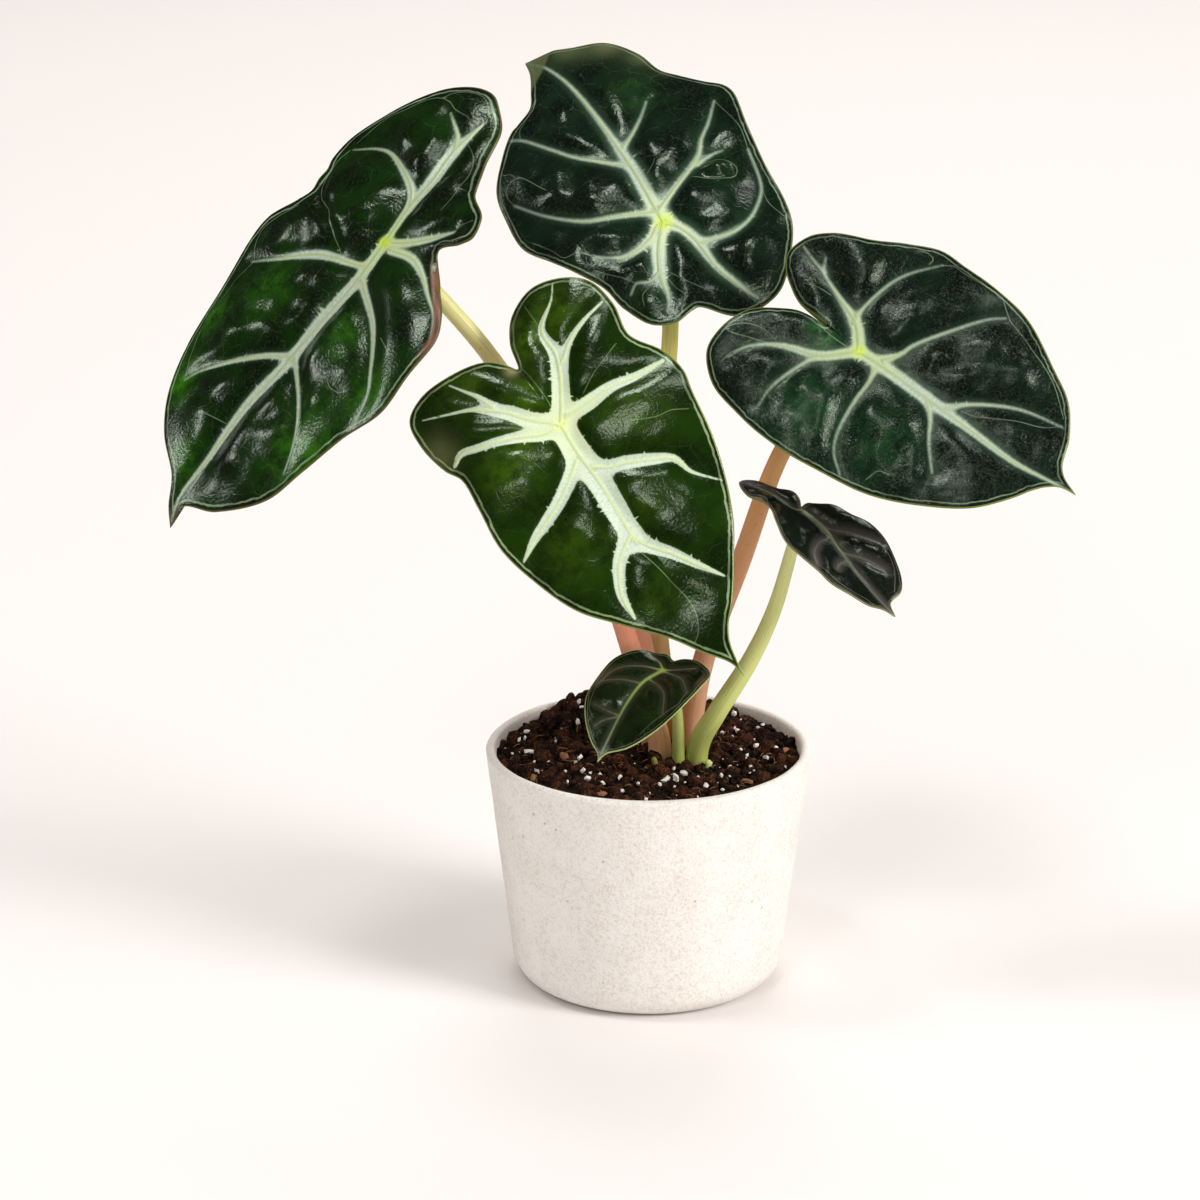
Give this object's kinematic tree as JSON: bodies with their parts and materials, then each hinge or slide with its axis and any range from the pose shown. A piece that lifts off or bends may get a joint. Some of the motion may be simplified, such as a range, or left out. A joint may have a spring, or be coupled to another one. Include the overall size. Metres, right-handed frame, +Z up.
{
  "type": "potted balloon heart alocasia",
  "caption": "Young aroid house plant with puckered, white-veined heart-shaped leaves on slim stalks, growing in soil in a round tapered fibre-clay pot.",
  "frame": {"origin": "middle of the pot's flat underside, on the surface that it stands on", "axes": "+Z up along the pot's axis, +X to the right and -Y towards the viewer when the plant is seen from its front"},
  "size_m": [0.3242, 0.2118, 0.3309],
  "materials": {
    "pot": "matte",
    "soil": "matte",
    "leaf_dark": "satin",
    "leaf_bright": "satin",
    "leaf_young": "satin",
    "stalk_pink": "satin",
    "stalk_olive": "satin",
    "stalk_pale": "satin"
  },
  "bodies": {
    "root": {"pot": "pot", "soil": "soil", "leaf_upper_left": "leaf_dark", "leaf_top": "leaf_dark", "leaf_front": "leaf_bright", "leaf_right": "leaf_dark", "leaf_small_right": "leaf_young", "leaf_small_front": "leaf_young", "stalk_upper_left": "stalk_pink", "stalk_top": "stalk_olive", "stalk_front": "stalk_pink", "stalk_right": "stalk_pink", "stalk_small_right": "stalk_pale", "stalk_small_front": "stalk_pale", "shoot_tip": "stalk_pale", "shoot_stub": "stalk_pale"}
  },
  "joints": []
}
